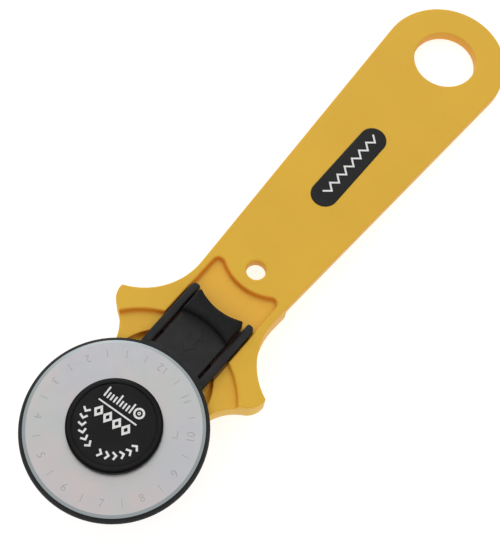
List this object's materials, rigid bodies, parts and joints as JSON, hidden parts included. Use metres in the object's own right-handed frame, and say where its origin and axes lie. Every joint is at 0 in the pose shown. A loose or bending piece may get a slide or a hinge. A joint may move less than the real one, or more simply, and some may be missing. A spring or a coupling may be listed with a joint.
{
  "type": "rotary cutter",
  "caption": "Flat-handled rotary cutter for cloth: a free-turning round blade on a capped hub bolt, with a guard that slides back to bare the edge.",
  "frame": {"origin": "middle of the whole cutter's box in plan, level with the underside of the nut knob", "axes": "+X along the handle from the blade to the hang hole, +Z out of the face that carries the blade, parallel to the blade's axis"},
  "size_m": [0.1823, 0.048, 0.0182],
  "materials": {
    "handle_plastic": "satin moulded yellow",
    "badge_plastic": "smooth black with white printed marks",
    "guard_plastic": "fine satin moulded black",
    "blade_steel": "ground flat, with a bevelled edge and etched scale",
    "cap_plastic": "satin black with white printed marks",
    "bolt_steel": "turned and rolled, zinc bright",
    "spring_steel": "bright spring steel",
    "knob_plastic": "satin moulded black",
    "insert_brass": "machined"
  },
  "bodies": {
    "handle": {"handle": "handle_plastic", "handle_badge": "badge_plastic", "bolt_cap": "cap_plastic", "bolt_shaft": "bolt_steel"},
    "guard": {"blade_guard": "guard_plastic"},
    "blade": {"blade": "blade_steel"},
    "washer": {"spring_washer": "spring_steel"},
    "nut": {"nut_knob": "knob_plastic", "nut_insert": "insert_brass"}
  },
  "joints": [
    {"name": "guard_slide", "type": "slide", "parent": "handle", "child": "guard", "axis": [1, 0, 0], "range_m": [0, 0.009]},
    {"name": "blade_spin", "type": "hinge", "parent": "handle", "child": "blade", "pos_m": [-0.06755, 0, 0.0157], "axis": [0, 0, 1], "continuous": true},
    {"name": "nut_slide", "type": "slide", "parent": "handle", "child": "washer", "axis": [0, 0, -1], "range_m": [0, 0.00201]},
    {"name": "nut_turn", "type": "hinge", "parent": "washer", "child": "nut", "pos_m": [-0.06755, 0, 0.003], "axis": [0, 0, -1], "range_deg": [0, 720]}
  ],
  "couplings": [
    {"joint": "nut_slide", "follows": "nut_turn", "m_per_rad": 0.00015915}
  ]
}
